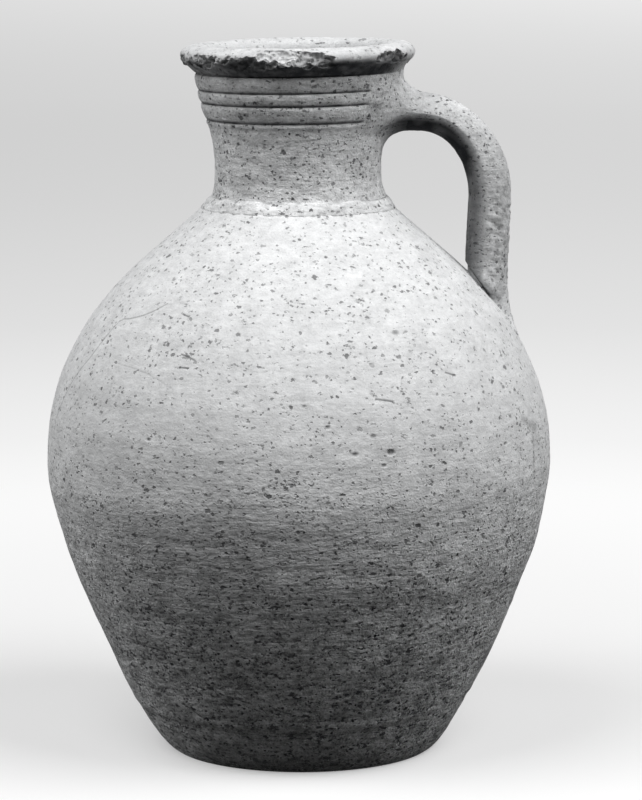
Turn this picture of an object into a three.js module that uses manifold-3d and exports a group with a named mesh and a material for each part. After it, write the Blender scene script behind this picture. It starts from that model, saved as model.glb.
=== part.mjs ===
import * as THREE from 'three';
import { mergeVertices } from 'three/addons/utils/BufferGeometryUtils.js';
import Module from 'manifold-3d';

// A jug of unglazed clay, thrown on a wheel, with a luted neck and one pulled handle.
// Millimetres, +Z up. The origin is the middle of the foot. The handle stands on the +X side.

// Gap between two pieces of clay that were pressed together
const clearance = 0.3;

// Body: foot, belly and shoulder
const footRadius = 64.2;
const footEdge = 0.8;
const heelAngle = 20;
const heelPull = 12.2;
const bellyRadius = 123.8;
const bellyHeight = 141;
const bellyLowerPull = 38.5;
const bellyUpperPull = 69;
const bodyHeight = 266;
const shoulderAngle = 42.5;
const shoulderPull = 48.8;
const bodyWall = 7;
const floorThickness = 9;
const seatThickness = 5;
const floorCorner = 1;

// Neck: waist, bands and lip, with the rises counted outward from the waist
const waistRadius = 39.8;
const neckHeight = 80;
const neckWall = 6.3;
const neckBaseRise = 1.7;
const waistStart = 9;
const waistEnd = 26;
const ledgeRise = 2.2;
const ledgeHeight = 2.2;
const bands = [
  { height: 8.4, lowerRise: 3, upperRise: 5.8 },
  { height: 6.2, lowerRise: 6.4, upperRise: 7.7 },
  { height: 8.4, lowerRise: 8.3, upperRise: 9.5 },
];
const grooveWidth = 1.4;
const grooveDepth = 0.9;
const lipHeight = 14.5;
const lipReach = 17.3;
const lipTipDrop = 4.8;
const lipUndercut = 6;
const lipUndercutReach = 15.3;
const crestRise = 5.4;
const crestRadius = 1.6;

// Collar: the roll of clay in the corner between shoulder and neck
const collarWidth = 5.2;
const collarHeight = 5.2;

// Handle: a pulled strap, level where it leaves the neck and upright where it is gripped
const loopWidth = 42.6;
const handleWidth = 26;
const archThickness = 18.7;
const gripThickness = 20.8;
const thickenFrom = 0.2;
const thickenTo = 0.5;
const handleDrop = 34.1;
const archStart = 17.2;
const archLead = 23.1;
const archDrop = 40.7;
const archTail = 20;
const gripLean = 2.3;

// Clay wiped round the two ends of the handle
const lutingEdge = 1.3;
const upperLutingReach = 24;
const upperLutingSpread = 12;
const upperLutingRise = 115;
const upperLutingFall = 13;
const lowerLutingHeight = 3;
const lowerLutingSpread = 5;

// Shades of the fired clay, as shares of white
const thrownShade = 0.6;
const wipedShade = 0.63;
const clayRoughness = 0.92;

// Steps of the faceted surfaces
const turnSteps = 48;
const curveSteps = 12;
const bendSteps = 6;
const handleSteps = 30;
const lutingSteps = 10;
const sectionSides = 20;

const wasm = await Module();
wasm.setup();

function solidOf(geometry) {
  const plain = geometry.clone();
  plain.deleteAttribute('normal');
  plain.deleteAttribute('uv');
  const merged = mergeVertices(plain, 1e-4);
  return new wasm.Manifold(new wasm.Mesh({
    numProp: 3,
    vertProperties: new Float32Array(merged.attributes.position.array),
    triVerts: new Uint32Array(merged.index.array),
  }));
}

function geometryOf(solid) {
  const mesh = solid.getMesh();
  const geometry = new THREE.BufferGeometry();
  geometry.setAttribute('position', new THREE.BufferAttribute(mesh.vertProperties, 3));
  geometry.setIndex(new THREE.BufferAttribute(mesh.triVerts, 1));
  geometry.computeVertexNormals();
  return geometry;
}

// A profile of (radius, height) points turned about +Z
function turned(points) {
  return new THREE.LatheGeometry(points, turnSteps).rotateX(Math.PI / 2);
}

function point(radius, height) {
  return new THREE.Vector2(radius, height);
}

// The line moved sideways by a distance, outward where the line climbs
function offsetLine(points, distance) {
  return points.map((here, i) => {
    const before = points[Math.max(i - 1, 0)];
    const after = points[Math.min(i + 1, points.length - 1)];
    const along = after.clone().sub(before).normalize();
    return point(here.x + along.y * distance, here.y - along.x * distance);
  });
}

// The line closed over the axis at both ends, as a filled solid of revolution
function filled(points) {
  const first = points[0];
  const last = points[points.length - 1];
  return solidOf(turned([point(0, first.y), ...points, point(0, last.y)]));
}

// Height of a climbing or falling line at one radius, searched from its upper end
function heightAt(points, radius) {
  for (let i = points.length - 1; i > 0; i -= 1) {
    const upper = points[i];
    const lower = points[i - 1];
    if ((upper.x - radius) * (lower.x - radius) <= 0 && upper.x !== lower.x) {
      return upper.y + (lower.y - upper.y) * (radius - upper.x) / (lower.x - upper.x);
    }
  }
  return points[0].y;
}

// Body: outer line from the foot's edge to the flat top that carries the neck
const neckBaseRadius = waistRadius + neckBaseRise;
const shoulderRadius = neckBaseRadius + collarWidth;
const heelStart = point(footRadius + footEdge, footEdge);
const heel = THREE.MathUtils.degToRad(heelAngle);
const slope = THREE.MathUtils.degToRad(shoulderAngle);
const lowerBelly = new THREE.CubicBezierCurve(
  heelStart,
  point(heelStart.x + heelPull * Math.cos(heel), heelStart.y + heelPull * Math.sin(heel)),
  point(bellyRadius, bellyHeight - bellyLowerPull),
  point(bellyRadius, bellyHeight),
);
const upperBelly = new THREE.CubicBezierCurve(
  point(bellyRadius, bellyHeight),
  point(bellyRadius, bellyHeight + bellyUpperPull),
  point(shoulderRadius + shoulderPull * Math.cos(slope), bodyHeight - shoulderPull * Math.sin(slope)),
  point(shoulderRadius, bodyHeight),
);
const bodyOuter = [
  ...lowerBelly.getPoints(curveSteps),
  ...upperBelly.getPoints(curveSteps).slice(1),
];
const throatRadius = neckBaseRadius - neckWall;
const bodyInner = offsetLine(bodyOuter, -bodyWall).filter(
  (p) => p.y > floorThickness + floorCorner && p.y < bodyHeight - seatThickness && p.x > throatRadius,
);

function makeBody() {
  const floorRadius = bodyInner[0].x - floorCorner;
  return turned([
    point(0, 0),
    point(footRadius, 0),
    ...bodyOuter,
    point(throatRadius, bodyHeight),
    point(throatRadius, bodyHeight - seatThickness),
    ...bodyInner.toReversed(),
    point(floorRadius, floorThickness),
    point(0, floorThickness),
  ]);
}

// Neck: outer line in the neck's own frame, whose height 0 is its lower face
function neckOuterLine() {
  const bandsHeight = bands.reduce((sum, band) => sum + band.height, 0);
  const lipStart = neckHeight - lipHeight;
  const bandsStart = lipStart - bandsHeight;
  const ledgeStart = bandsStart - ledgeHeight;
  const ledgeRadius = waistRadius + ledgeRise;
  const base = new THREE.QuadraticBezierCurve(
    point(neckBaseRadius, 0),
    point(waistRadius, waistStart / 2),
    point(waistRadius, waistStart),
  );
  const flare = new THREE.QuadraticBezierCurve(
    point(waistRadius, waistEnd),
    point(waistRadius, (waistEnd + ledgeStart) / 2),
    point(ledgeRadius, ledgeStart),
  );
  const line = [
    ...base.getPoints(bendSteps),
    ...flare.getPoints(bendSteps),
    point(ledgeRadius + grooveDepth, ledgeStart + ledgeHeight / 2),
  ];
  let height = bandsStart;
  for (const band of bands) {
    const lower = waistRadius + band.lowerRise;
    line.push(
      point(lower - grooveDepth, height),
      point(lower, height + grooveWidth),
      point(waistRadius + band.upperRise, height + band.height - grooveWidth / 2),
    );
    height += band.height;
  }
  const undercut = point(waistRadius + lipUndercutReach, lipStart + lipUndercut);
  const crest = point(waistRadius + crestRise + crestRadius, neckHeight);
  const tipHeight = neckHeight - lipTipDrop;
  const tipPull = (8 * (waistRadius + lipReach) - undercut.x - crest.x) / 6;
  const lip = new THREE.CubicBezierCurve(undercut, point(tipPull, tipHeight), point(tipPull, tipHeight), crest);
  return [...line, point(line[line.length - 1].x, lipStart), ...lip.getPoints(bendSteps)];
}

const neckOuter = neckOuterLine();

function makeNeck() {
  const mouthRadius = waistRadius + crestRise;
  const boreRadius = waistRadius - neckWall;
  const inside = new THREE.CubicBezierCurve(
    point(mouthRadius, neckHeight - crestRadius),
    point(mouthRadius - crestRise, neckHeight - 2 * lipHeight),
    point(boreRadius, waistEnd + lipHeight),
    point(boreRadius, waistEnd),
  );
  return turned([
    ...neckOuter,
    ...inside.getPoints(bendSteps),
    point(boreRadius, waistStart),
    point(throatRadius, 0),
    neckOuter[0].clone(),
  ]);
}

const neckBottom = bodyHeight + clearance;
const bodySpace = filled(offsetLine([point(footRadius, 0), ...bodyOuter], clearance));
const neckSpace = filled([
  point(neckBaseRadius + clearance, -clearance),
  ...offsetLine(neckOuter, clearance),
]).translate([0, 0, neckBottom]);

function makeCollar() {
  const collarTop = neckBottom + collarHeight;
  const bulge = new THREE.QuadraticBezierCurve(
    point(shoulderRadius, neckBottom),
    point(shoulderRadius, collarTop),
    point(waistRadius, collarTop),
  );
  const roll = solidOf(turned([
    point(throatRadius, neckBottom),
    ...bulge.getPoints(bendSteps),
    point(throatRadius, collarTop),
    point(throatRadius, neckBottom),
  ]));
  return geometryOf(roll.subtract(neckSpace));
}

// A skin over rings of equal length, closed by a fan at each end
function loft(rings) {
  const sides = rings[0].length;
  const points = rings.flat();
  const index = [];
  for (let k = 0; k < rings.length - 1; k += 1) {
    for (let j = 0; j < sides; j += 1) {
      const a = k * sides + j;
      const b = k * sides + (j + 1) % sides;
      index.push(a, b, b + sides, a, b + sides, a + sides);
    }
  }
  const ends = [rings[0], rings[rings.length - 1]];
  const middles = ends.map((ring) => ring.reduce((sum, p) => sum.add(p), new THREE.Vector3())
    .divideScalar(sides));
  const last = (rings.length - 1) * sides;
  for (let j = 0; j < sides; j += 1) {
    const next = (j + 1) % sides;
    index.push(points.length, next, j);
    index.push(points.length + 1, last + j, last + next);
  }
  const geometry = new THREE.BufferGeometry().setFromPoints([...points, ...middles]);
  geometry.setIndex(index);
  return geometry;
}

// An oval ring about a centre: it reaches ahead along a direction, behind against it, and sideways along Y
function oval(centre, direction, ahead, behind, halfWidth) {
  return Array.from({ length: sectionSides }, (_, j) => {
    const turn = (2 * Math.PI * j) / sectionSides;
    const reach = Math.cos(turn) > 0 ? ahead : behind;
    return centre.clone()
      .addScaledVector(direction, reach * Math.cos(turn))
      .add(new THREE.Vector3(0, halfWidth * Math.sin(turn), 0));
  });
}

// Handle: centre line in the XZ plane
const handleHeight = neckBottom + neckHeight - handleDrop;
const gripX = waistRadius + loopWidth + gripThickness / 2;
const seatX = gripX - gripLean;
const seatHeight = heightAt(bodyOuter, seatX);
const handleEnd = heightAt(bodyOuter, seatX + gripThickness) - floorThickness;
const arch = new THREE.CubicBezierCurve3(
  new THREE.Vector3(waistRadius + archStart, 0, handleHeight),
  new THREE.Vector3(waistRadius + archStart + archLead, 0, handleHeight),
  new THREE.Vector3(gripX, 0, handleHeight - archDrop + archTail),
  new THREE.Vector3(gripX, 0, handleHeight - archDrop),
);
const handleLine = new THREE.CurvePath();
handleLine.add(new THREE.LineCurve3(new THREE.Vector3(throatRadius, 0, handleHeight), arch.v0));
handleLine.add(arch);
handleLine.add(new THREE.LineCurve3(arch.v3, new THREE.Vector3(seatX, 0, seatHeight)));
handleLine.add(new THREE.LineCurve3(
  new THREE.Vector3(seatX, 0, seatHeight),
  new THREE.Vector3(seatX, 0, handleEnd),
));

function handleSkin(growth) {
  const rings = [];
  for (let k = 0; k <= handleSteps; k += 1) {
    const share = k / handleSteps;
    const along = handleLine.getTangentAt(share);
    const inward = new THREE.Vector3(along.z, 0, -along.x);
    const blend = THREE.MathUtils.smoothstep(share, thickenFrom, thickenTo);
    const half = THREE.MathUtils.lerp(archThickness, gripThickness, blend) / 2 + growth;
    rings.push(oval(handleLine.getPointAt(share), inward, half, half, handleWidth / 2 + growth));
  }
  return solidOf(loft(rings));
}

const handleSpace = handleSkin(clearance);

function makeHandle() {
  return geometryOf(handleSkin(0).subtract(neckSpace).subtract(bodySpace));
}

// Upper luting: flares from the handle onto the neck and up under the lip, with its rings square to +X
function makeUpperLuting() {
  const highest = handleDrop - lipTipDrop;
  const edge = archThickness / 2 + lutingEdge;
  const startX = waistRadius + archStart + lutingEdge - upperLutingReach;
  const rings = [];
  for (let k = 0; k <= lutingSteps; k += 1) {
    const share = k / lutingSteps;
    const flare = (1 - share) ** 2;
    rings.push(oval(
      new THREE.Vector3(startX + upperLutingReach * share, 0, handleHeight),
      new THREE.Vector3(0, 0, -1),
      edge + upperLutingFall * flare,
      Math.min(edge + upperLutingRise * flare, highest),
      handleWidth / 2 + lutingEdge + upperLutingSpread * flare,
    ));
  }
  return geometryOf(solidOf(loft(rings)).subtract(neckSpace).subtract(handleSpace));
}

// Lower luting: flares from the handle onto the shoulder, with its rings along the shoulder's slope
function makeLowerLuting() {
  const inner = heightAt(bodyOuter, seatX - gripThickness / 2);
  const outer = heightAt(bodyOuter, seatX + gripThickness / 2);
  const downhill = new THREE.Vector3(gripThickness, 0, outer - inner).normalize();
  const rings = [];
  for (let k = 0; k <= lutingSteps; k += 1) {
    const share = k / lutingSteps;
    const spread = lutingEdge + lowerLutingSpread * (1 - share) ** 2;
    const depth = THREE.MathUtils.lerp(-lowerLutingSpread, lowerLutingHeight, share);
    const reach = gripThickness / 2 / downhill.x + spread;
    rings.push(oval(
      new THREE.Vector3(seatX, 0, seatHeight + depth / downhill.x),
      downhill,
      reach,
      reach,
      handleWidth / 2 + spread,
    ));
  }
  return geometryOf(solidOf(loft(rings)).subtract(bodySpace).subtract(handleSpace));
}

function clay(shade) {
  const color = new THREE.Color(shade, shade, shade);
  return new THREE.MeshStandardMaterial({ color, roughness: clayRoughness, metalness: 0 });
}

function piece(name, geometry, shade) {
  const mesh = new THREE.Mesh(geometry, clay(shade));
  mesh.name = name;
  return mesh;
}

const jug = new THREE.Group();
const neck = piece('neck', makeNeck(), thrownShade);
neck.position.z = neckBottom;
jug.add(piece('body', makeBody(), thrownShade));
jug.add(neck);
jug.add(piece('neck_collar', makeCollar(), wipedShade));
jug.add(piece('handle', makeHandle(), thrownShade));
jug.add(piece('handle_upper_luting', makeUpperLuting(), wipedShade));
jug.add(piece('handle_lower_luting', makeLowerLuting(), wipedShade));

export default jug;
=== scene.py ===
import math
import random

import bmesh
import bpy
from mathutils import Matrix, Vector, noise


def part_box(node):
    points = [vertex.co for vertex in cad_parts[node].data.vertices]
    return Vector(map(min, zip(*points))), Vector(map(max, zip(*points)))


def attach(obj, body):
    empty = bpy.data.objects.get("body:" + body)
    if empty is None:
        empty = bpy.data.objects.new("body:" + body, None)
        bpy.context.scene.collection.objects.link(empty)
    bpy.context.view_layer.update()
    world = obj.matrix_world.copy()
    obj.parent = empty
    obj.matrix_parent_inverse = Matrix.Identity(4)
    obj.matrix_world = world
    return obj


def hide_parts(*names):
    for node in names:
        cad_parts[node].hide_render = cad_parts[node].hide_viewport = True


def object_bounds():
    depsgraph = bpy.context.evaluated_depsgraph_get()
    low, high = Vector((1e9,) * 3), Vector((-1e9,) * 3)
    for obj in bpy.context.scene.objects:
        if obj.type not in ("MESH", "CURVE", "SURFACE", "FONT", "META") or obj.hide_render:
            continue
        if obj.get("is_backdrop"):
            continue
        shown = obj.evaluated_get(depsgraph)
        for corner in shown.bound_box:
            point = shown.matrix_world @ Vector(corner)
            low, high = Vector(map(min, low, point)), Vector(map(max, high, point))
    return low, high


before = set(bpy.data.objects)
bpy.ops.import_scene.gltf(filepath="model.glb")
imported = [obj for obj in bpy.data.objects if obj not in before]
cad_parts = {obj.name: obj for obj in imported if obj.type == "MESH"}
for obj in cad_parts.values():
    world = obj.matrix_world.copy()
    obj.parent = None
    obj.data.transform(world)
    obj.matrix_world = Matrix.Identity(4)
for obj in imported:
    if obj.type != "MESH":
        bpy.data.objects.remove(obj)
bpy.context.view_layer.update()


# Camera: a long lens a little above the jug, which stands just left of the picture's middle.
# The long side of the picture is the height, so the sensor's width is counted along it.
mm = 0.001
camera_distance = 1800 * mm
camera_height = 444 * mm
camera_offset = 10.85 * mm
camera_tilt = math.radians(8.63)
camera_lens = 167.3

camera_data = bpy.data.cameras.new("camera")
camera_data.lens = camera_lens
camera_data.sensor_width = 36
camera = bpy.data.objects.new("camera", camera_data)
camera.location = (camera_offset, -camera_distance, camera_height)
camera.rotation_euler = (math.pi / 2 - camera_tilt, 0, 0)
bpy.context.collection.objects.link(camera)
bpy.context.scene.camera = camera
bpy.context.scene.view_settings.view_transform = "Standard"


# Stage: a wide pale floor that runs out to a pale horizon, under two broad lamps high in front
# and two weak ones at the sides. The floor is seen pale, but throws little light back up.
def grey(shade):
    return (shade, shade, shade, 1)


class Wire:
    """An output of a node tree. Arithmetic on it adds Math nodes to that tree."""

    def __init__(self, tree, socket=None):
        self.tree = tree
        self.socket = socket

    def node(self, kind, settings=None, inputs=None, output=0):
        """Any other node: its settings first, then the values or wires of its sockets."""
        made = self.tree.nodes.new(kind)
        for name, value in (settings or {}).items():
            if name == "stops":
                for place, shade in value:
                    stop = made.color_ramp.elements.new(place)
                    stop.color = grey(shade)
                made.color_ramp.elements.remove(made.color_ramp.elements[0])
                made.color_ramp.elements.remove(made.color_ramp.elements[-1])
            elif name == "smooth":
                made.color_ramp.interpolation = "B_SPLINE"
            else:
                setattr(made, name, value)
        for name, value in (inputs or {}).items():
            if isinstance(value, Wire):
                self.tree.links.new(value.socket, made.inputs[name])
            else:
                made.inputs[name].default_value = value
        return Wire(self.tree, made.outputs[output]) if made.outputs else made

    def sibling(self, output):
        """Another output of the node that this one comes from."""
        return Wire(self.tree, self.socket.node.outputs[output])

    def math(self, operation, *values, clamp=False):
        settings = {"operation": operation, "use_clamp": clamp}
        return self.node("ShaderNodeMath", settings, dict(enumerate(values)))

    def __add__(self, other):
        return self.math("ADD", self, other)

    def __sub__(self, other):
        return self.math("SUBTRACT", self, other)

    def __rsub__(self, other):
        return self.math("SUBTRACT", other, self)

    def __mul__(self, other):
        return self.math("MULTIPLY", self, other)

    def __truediv__(self, other):
        return self.math("DIVIDE", self, other)

    def __lt__(self, other):
        return self.math("LESS_THAN", self, other)

    __radd__ = __add__
    __rmul__ = __mul__

    def clamped(self):
        return self.math("ADD", self, 0.0, clamp=True)

    def larger(self, other):
        """Whichever of the two is larger at each place."""
        return self.math("MAXIMUM", self, other)

    def rise(self, low, high):
        """0 below low, 1 above high, and a smooth climb between them."""
        settings = {"interpolation_type": "SMOOTHSTEP"}
        inputs = {"Value": self, "From Min": low, "From Max": high}
        return self.node("ShaderNodeMapRange", settings, inputs)


def material_start(name):
    material = bpy.data.materials.new(name)
    material.use_nodes = True
    material.node_tree.nodes.clear()
    return material, Wire(material.node_tree)


def seen_directly(start):
    """1 on what the camera sees, also in a gloss or through glass, and 0 on what only gives light."""
    ray = start.node("ShaderNodeLightPath", output="Is Camera Ray")
    return ray.larger(ray.sibling("Is Glossy Ray")).larger(ray.sibling("Is Transmission Ray"))


# Near the jug the floor shows its shadow, and past far_floor its tones alone. It is seen a
# little paler to the right, by floor_side_gain for each metre.
floor_radius = 9.0
floor_shade = 0.95
floor_bounce_shade = 0.05
floor_glow = 0.4
floor_side_gain = 0.06
near_floor = 0.2
far_floor = 0.75
world_fill = 0.02
# Shades that the camera sees on the floor, by distance from the jug in metres
floor_tones = [
    (0.0, 1.0),
    (0.35, 1.0),
    (0.6, 1.0),
    (0.95, 0.90),
    (1.6, 0.74),
    (2.8, 0.66),
    (4.6, 0.64),
    (8.6, 0.80),
]

floor_shape = bmesh.new()
bmesh.ops.create_circle(floor_shape, cap_ends=True, segments=96, radius=floor_radius)
floor_mesh = bpy.data.meshes.new("floor")
floor_shape.to_mesh(floor_mesh)
floor_shape.free()
floor = bpy.data.objects.new("floor", floor_mesh)
bpy.context.collection.objects.link(floor)
floor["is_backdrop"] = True

floor_material, start = material_start("floor_paper")
place = start.node("ShaderNodeTexCoord", output="Object")
distance = place.node("ShaderNodeVectorMath", {"operation": "LENGTH"}, {0: place}, "Value")
ramp_stops = [(metres / floor_radius, shade) for metres, shade in floor_tones]
ramp = {"stops": ramp_stops, "smooth": True}
far_shade = place.node("ShaderNodeValToRGB", ramp, {"Fac": distance / floor_radius})
to_right = place.node("ShaderNodeSeparateXYZ", None, {0: place}, "X")
gain = {0: far_shade, "Scale": 1 + to_right * floor_side_gain}
seen_shade = place.node("ShaderNodeVectorMath", {"operation": "SCALE"}, gain)
lit = start.node("ShaderNodeBsdfDiffuse", None, {"Color": grey(floor_shade)})
glowing = start.node("ShaderNodeEmission", None, {"Color": seen_shade})
glow_share = floor_glow + (1 - floor_glow) * distance.rise(near_floor, far_floor)
seen = start.node("ShaderNodeMixShader", None, {0: glow_share, 1: lit, 2: glowing})
unseen = start.node("ShaderNodeBsdfDiffuse", None, {"Color": grey(floor_bounce_shade)})
surface = start.node("ShaderNodeMixShader", None, {0: seen_directly(start), 1: unseen, 2: seen})
start.node("ShaderNodeOutputMaterial", None, {"Surface": surface})
floor_mesh.materials.append(floor_material)

world = bpy.data.worlds.new("studio")
world.use_nodes = True
world.node_tree.nodes.clear()
bpy.context.scene.world = world
start = Wire(world.node_tree)
horizon_shade = floor_tones[-1][1]
strength = seen_directly(start) * (horizon_shade - world_fill) + world_fill
background = start.node("ShaderNodeBackground", None, {"Color": grey(1), "Strength": strength})
start.node("ShaderNodeOutputWorld", None, {"Surface": background})


def lamp(name, place, target, width, depth, power):
    """A rectangular lamp at a place that faces a target, in metres, with its power in watts."""
    data = bpy.data.lights.new(name, "AREA")
    data.shape = "RECTANGLE"
    data.size = width
    data.size_y = depth
    data.energy = power
    made = bpy.data.objects.new(name, data)
    made.location = place
    made.rotation_euler = (Vector(target) - Vector(place)).to_track_quat("-Z", "Y").to_euler()
    bpy.context.collection.objects.link(made)


shoulder_aim = (0, 0, 0.2)
belly_aim = (0, 0, 0.12)
lamp("left_lamp", (-0.73, -0.63, 1.66), shoulder_aim, 1.2, 0.9, 20.6)
lamp("right_lamp", (0.93, -0.6, 1.55), shoulder_aim, 1.2, 0.9, 25)
lamp("left_side_lamp", (-1.5, 0.75, 0.28), belly_aim, 1.2, 0.5, 7)
lamp("right_side_lamp", (1.5, 0.75, 0.28), belly_aim, 1.2, 0.5, 3.5)


# Body: foot, belly and shoulder thrown in one piece on the wheel, from a pale clay with dark
# grit. Its outside was wiped with wet hands, so it keeps fine level streaks, pits and low rings.
body_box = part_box("body")
belly_radius = body_box[1].x - 0.85 * mm
body_height = body_box[1].z
foot_radius = 64.3 * mm
foot_edge = 0.4 * mm
belly_height = 141 * mm
belly_lower_pull = 38.5 * mm
belly_upper_pull = 69 * mm
heel_pull = 12.2 * mm
heel_angle = math.radians(20)
seat_radius = 46.7 * mm
shoulder_pull = 48.8 * mm
shoulder_angle = math.radians(42.5)
throat_radius = 35.2 * mm
throat_height = 5 * mm
body_wall = 7 * mm
floor_thickness = 9 * mm
body_turns = 300
body_rings = 118
inside_rings = 26
# Where the thrown wall stands out or in from its smooth curve: height, tallness and amount in
# millimetres
swells = [(98, 12, 0.6), (200, 20, -0.5)]


def bezier(points, steps):
    """Points along the cubic curve with these four control points, without the first."""
    a, b, c, d = (Vector(point) for point in points)
    made = []
    for step in range(1, steps + 1):
        t = step / steps
        u = 1 - t
        made.append(a * u**3 + b * (3 * t * u**2) + c * (3 * t**2 * u) + d * t**3)
    return made


def turned(line, turns):
    """A shape made by turning an outline of (radius, height) points about the axis."""
    shape = bmesh.new()
    points = [shape.verts.new((radius, 0, height)) for radius, height in line]
    edges = [shape.edges.new(pair) for pair in zip(points, points[1:])]
    bmesh.ops.spin(
        shape,
        geom=points + edges,
        cent=(0, 0, 0),
        axis=(0, 0, 1),
        dvec=(0, 0, 0),
        angle=math.tau,
        steps=turns,
        use_merge=True,
        use_duplicate=False,
    )
    bmesh.ops.remove_doubles(shape, verts=shape.verts, dist=0.001 * mm)
    bmesh.ops.recalc_face_normals(shape, faces=shape.faces)
    return shape


def line_radius(line, height):
    """Radius of a rising outline at one height."""
    low = 0
    high = len(line) - 1
    while high - low > 1:
        middle = (low + high) // 2
        if line[middle].y > height:
            high = middle
        else:
            low = middle
    share = (height - line[low].y) / (line[high].y - line[low].y)
    share = min(max(share, 0), 1)
    return line[low].x + (line[high].x - line[low].x) * share


def hump(value, middle, width):
    """1 at the middle, falling smoothly to nothing about two widths away."""
    return math.exp(-(((value - middle) / width) ** 2))


def ease(value, low, high):
    """0 below low, 1 above high, and a smooth climb between them."""
    share = min(max((value - low) / (high - low), 0), 1)
    return share * share * (3 - 2 * share)


def rough(x, y, z, size):
    """A smooth random number between about -1 and 1, whose bumps are about one size apart."""
    return noise.noise(Vector((x, y, z)) / size)


def azimuth_at(x, y):
    """Azimuth in degrees, 0 in front and 90 at the handle."""
    return math.degrees(math.atan2(x, -y))


def on_body(azimuth, height):
    """The point of the body's outside at an azimuth in degrees and a height in millimetres."""
    radius = line_radius(body_line, height * mm)
    turn = math.radians(azimuth)
    return Vector((radius * math.sin(turn), -radius * math.cos(turn), height * mm))


def nearby(points, distance):
    """A test for whether a place is near any of these points, from a grid of coarse cells."""
    steps = (-1, 0, 1)
    cells = set()
    for point in points:
        x, y, z = (round(value / distance) for value in point)
        cells.update((x + i, y + j, z + k) for i in steps for j in steps for k in steps)
    return lambda co: tuple(round(value / distance) for value in co) in cells


def refine(shape, is_chosen):
    """Splits the faces whose middle is chosen into four."""
    chosen = set()
    for face in shape.faces:
        if is_chosen(face.calc_center_median()):
            chosen.update(face.edges)
    bmesh.ops.subdivide_edges(shape, edges=list(chosen), cuts=1, use_grid_fill=True)


def set_on(shape, line):
    """Moves the points of the outside sideways onto its outline, after their faces were split."""
    for vert in shape.verts:
        radius = math.hypot(vert.co.x, vert.co.y)
        wanted = line_radius(line, vert.co.z)
        if vert.co.z > line[0].y and abs(radius - wanted) < 0.3 * mm:
            vert.co.x *= wanted / radius
            vert.co.y *= wanted / radius


foot_start = Vector((foot_radius + foot_edge, foot_edge))
heel_bend = foot_start + heel_pull * Vector((math.cos(heel_angle), math.sin(heel_angle)))
belly_point = Vector((belly_radius, belly_height))
belly_lower = Vector((belly_radius, belly_height - belly_lower_pull))
belly_upper = Vector((belly_radius, belly_height + belly_upper_pull))
seat_point = Vector((seat_radius, body_height))
shoulder_slope = Vector((math.cos(shoulder_angle), -math.sin(shoulder_angle)))
shoulder_bend = seat_point + shoulder_pull * shoulder_slope
body_line = [foot_start]
body_line += bezier((foot_start, heel_bend, belly_lower, belly_point), body_rings)
body_line += bezier((belly_point, belly_upper, shoulder_bend, seat_point), body_rings)
for point in body_line:
    point.x += sum(amount * mm * hump(point.y, height * mm, tall * mm) for height, tall, amount in swells)

foot_line = [Vector((foot_radius * step / 6, 0)) for step in range(7)]
inside_line = []
for step in range(inside_rings + 1):
    height = floor_thickness + (body_height - throat_height - floor_thickness) * step / inside_rings
    radius = max(line_radius(body_line, height) - body_wall, throat_radius)
    inside_line.append(Vector((radius, height)))
body_outline = foot_line + body_line
body_outline += [Vector((throat_radius, body_height))]
body_outline += list(reversed(inside_line))
body_outline += [Vector((0, floor_thickness))]

# Lines that show in the wall: azimuth in degrees, height in millimetres
crack = [
    (-42.8, 226.5),
    (-47.9, 221.4),
    (-54.2, 218.2),
    (-58.8, 217.3),
    (-60.4, 212.5),
    (-64, 199.3),
    (-67.8, 190.4),
    (-71.2, 180.5),
    (-74.6, 166.9),
]
low_crack = [(-56, 62.6), (-45, 62.5), (-33, 60.2)]
chipped_line = [(-40, 34), (-37, 32), (-34, 28), (-29, 28.4)]
scratch = [(-52, 199), (-40, 197), (-31, 191)]
stain_head = [(62.7, 170.1), (65.6, 166.9), (69.0, 163.9)]
stain_tail = [(67.0, 165.0), (66.9, 156.0), (65.7, 142.3)]
# Each line's half width and depth in millimetres, and how dark it is
lines = [
    (crack, 0.5, 0.2, 0.42),
    (low_crack, 0.5, 0.2, 0.45),
    (chipped_line, 0.7, 0.4, 0.6),
    (scratch, 0.5, 0.1, 0.14),
    (stain_head, 3.0, 0.0, 0.32),
    (stain_tail, 1.6, 0.0, 0.26),
]
# Needle-shaped grains: azimuth and height of both ends
needles = [
    [(-30.6, 206.0), (-26.6, 204.0)],
    [(-35.0, 223.0), (-32.6, 222.0)],
    [(-30.2, 200.2), (-27.6, 200.2)],
    [(18.6, 187.6), (22.4, 186.2)],
    [(38.6, 196.8), (41.4, 195.0)],
    [(-20.0, 41.0), (-15.0, 38.4)],
    [(-8.0, 36.0), (-3.6, 34.0)],
]
lines += [(needle, 0.55, 0.25, 0.7) for needle in needles]
# Pits: azimuth in degrees, then height, width along the wall and depth in millimetres
pits = [
    (1.6, 185.3, 2.6, 0.5),
    (6.7, 175.9, 3.2, 0.6),
    (12.6, 163.4, 3.4, 0.6),
    (20.8, 163.5, 5.0, 1.0),
    (19.0, 157.8, 3.0, 0.6),
    (53.5, 160.9, 2.6, 0.8),
    (57.7, 186.0, 2.6, 0.7),
    (35.0, 197.8, 2.4, 0.7),
    (62.7, 199.6, 2.4, 0.7),
    (-63.6, 226.6, 2.2, 0.8),
    (8.6, 225.8, 2.2, 0.8),
    (-28.8, 204.8, 4.0, 0.5),
    (27.5, 215.7, 4.4, 0.5),
    (16.9, 171.2, 3.6, 0.5),
    (-34.8, 167.2, 2.8, 0.7),
]
# How dark the middle of a pit is, and how much wider than tall a pit is
pit_darkening = 0.6
pit_squeeze = 1.5
# Shallow dents: azimuth in degrees, then height, width, tallness and depth in millimetres
dents = [
    (90, 118, 16, 14, 0.7),
    (78, 60, 14, 12, 0.6),
    (-20, 95, 20, 12, 0.4),
    (30, 70, 22, 10, 0.4),
    (-60, 120, 18, 14, 0.3),
]
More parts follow.
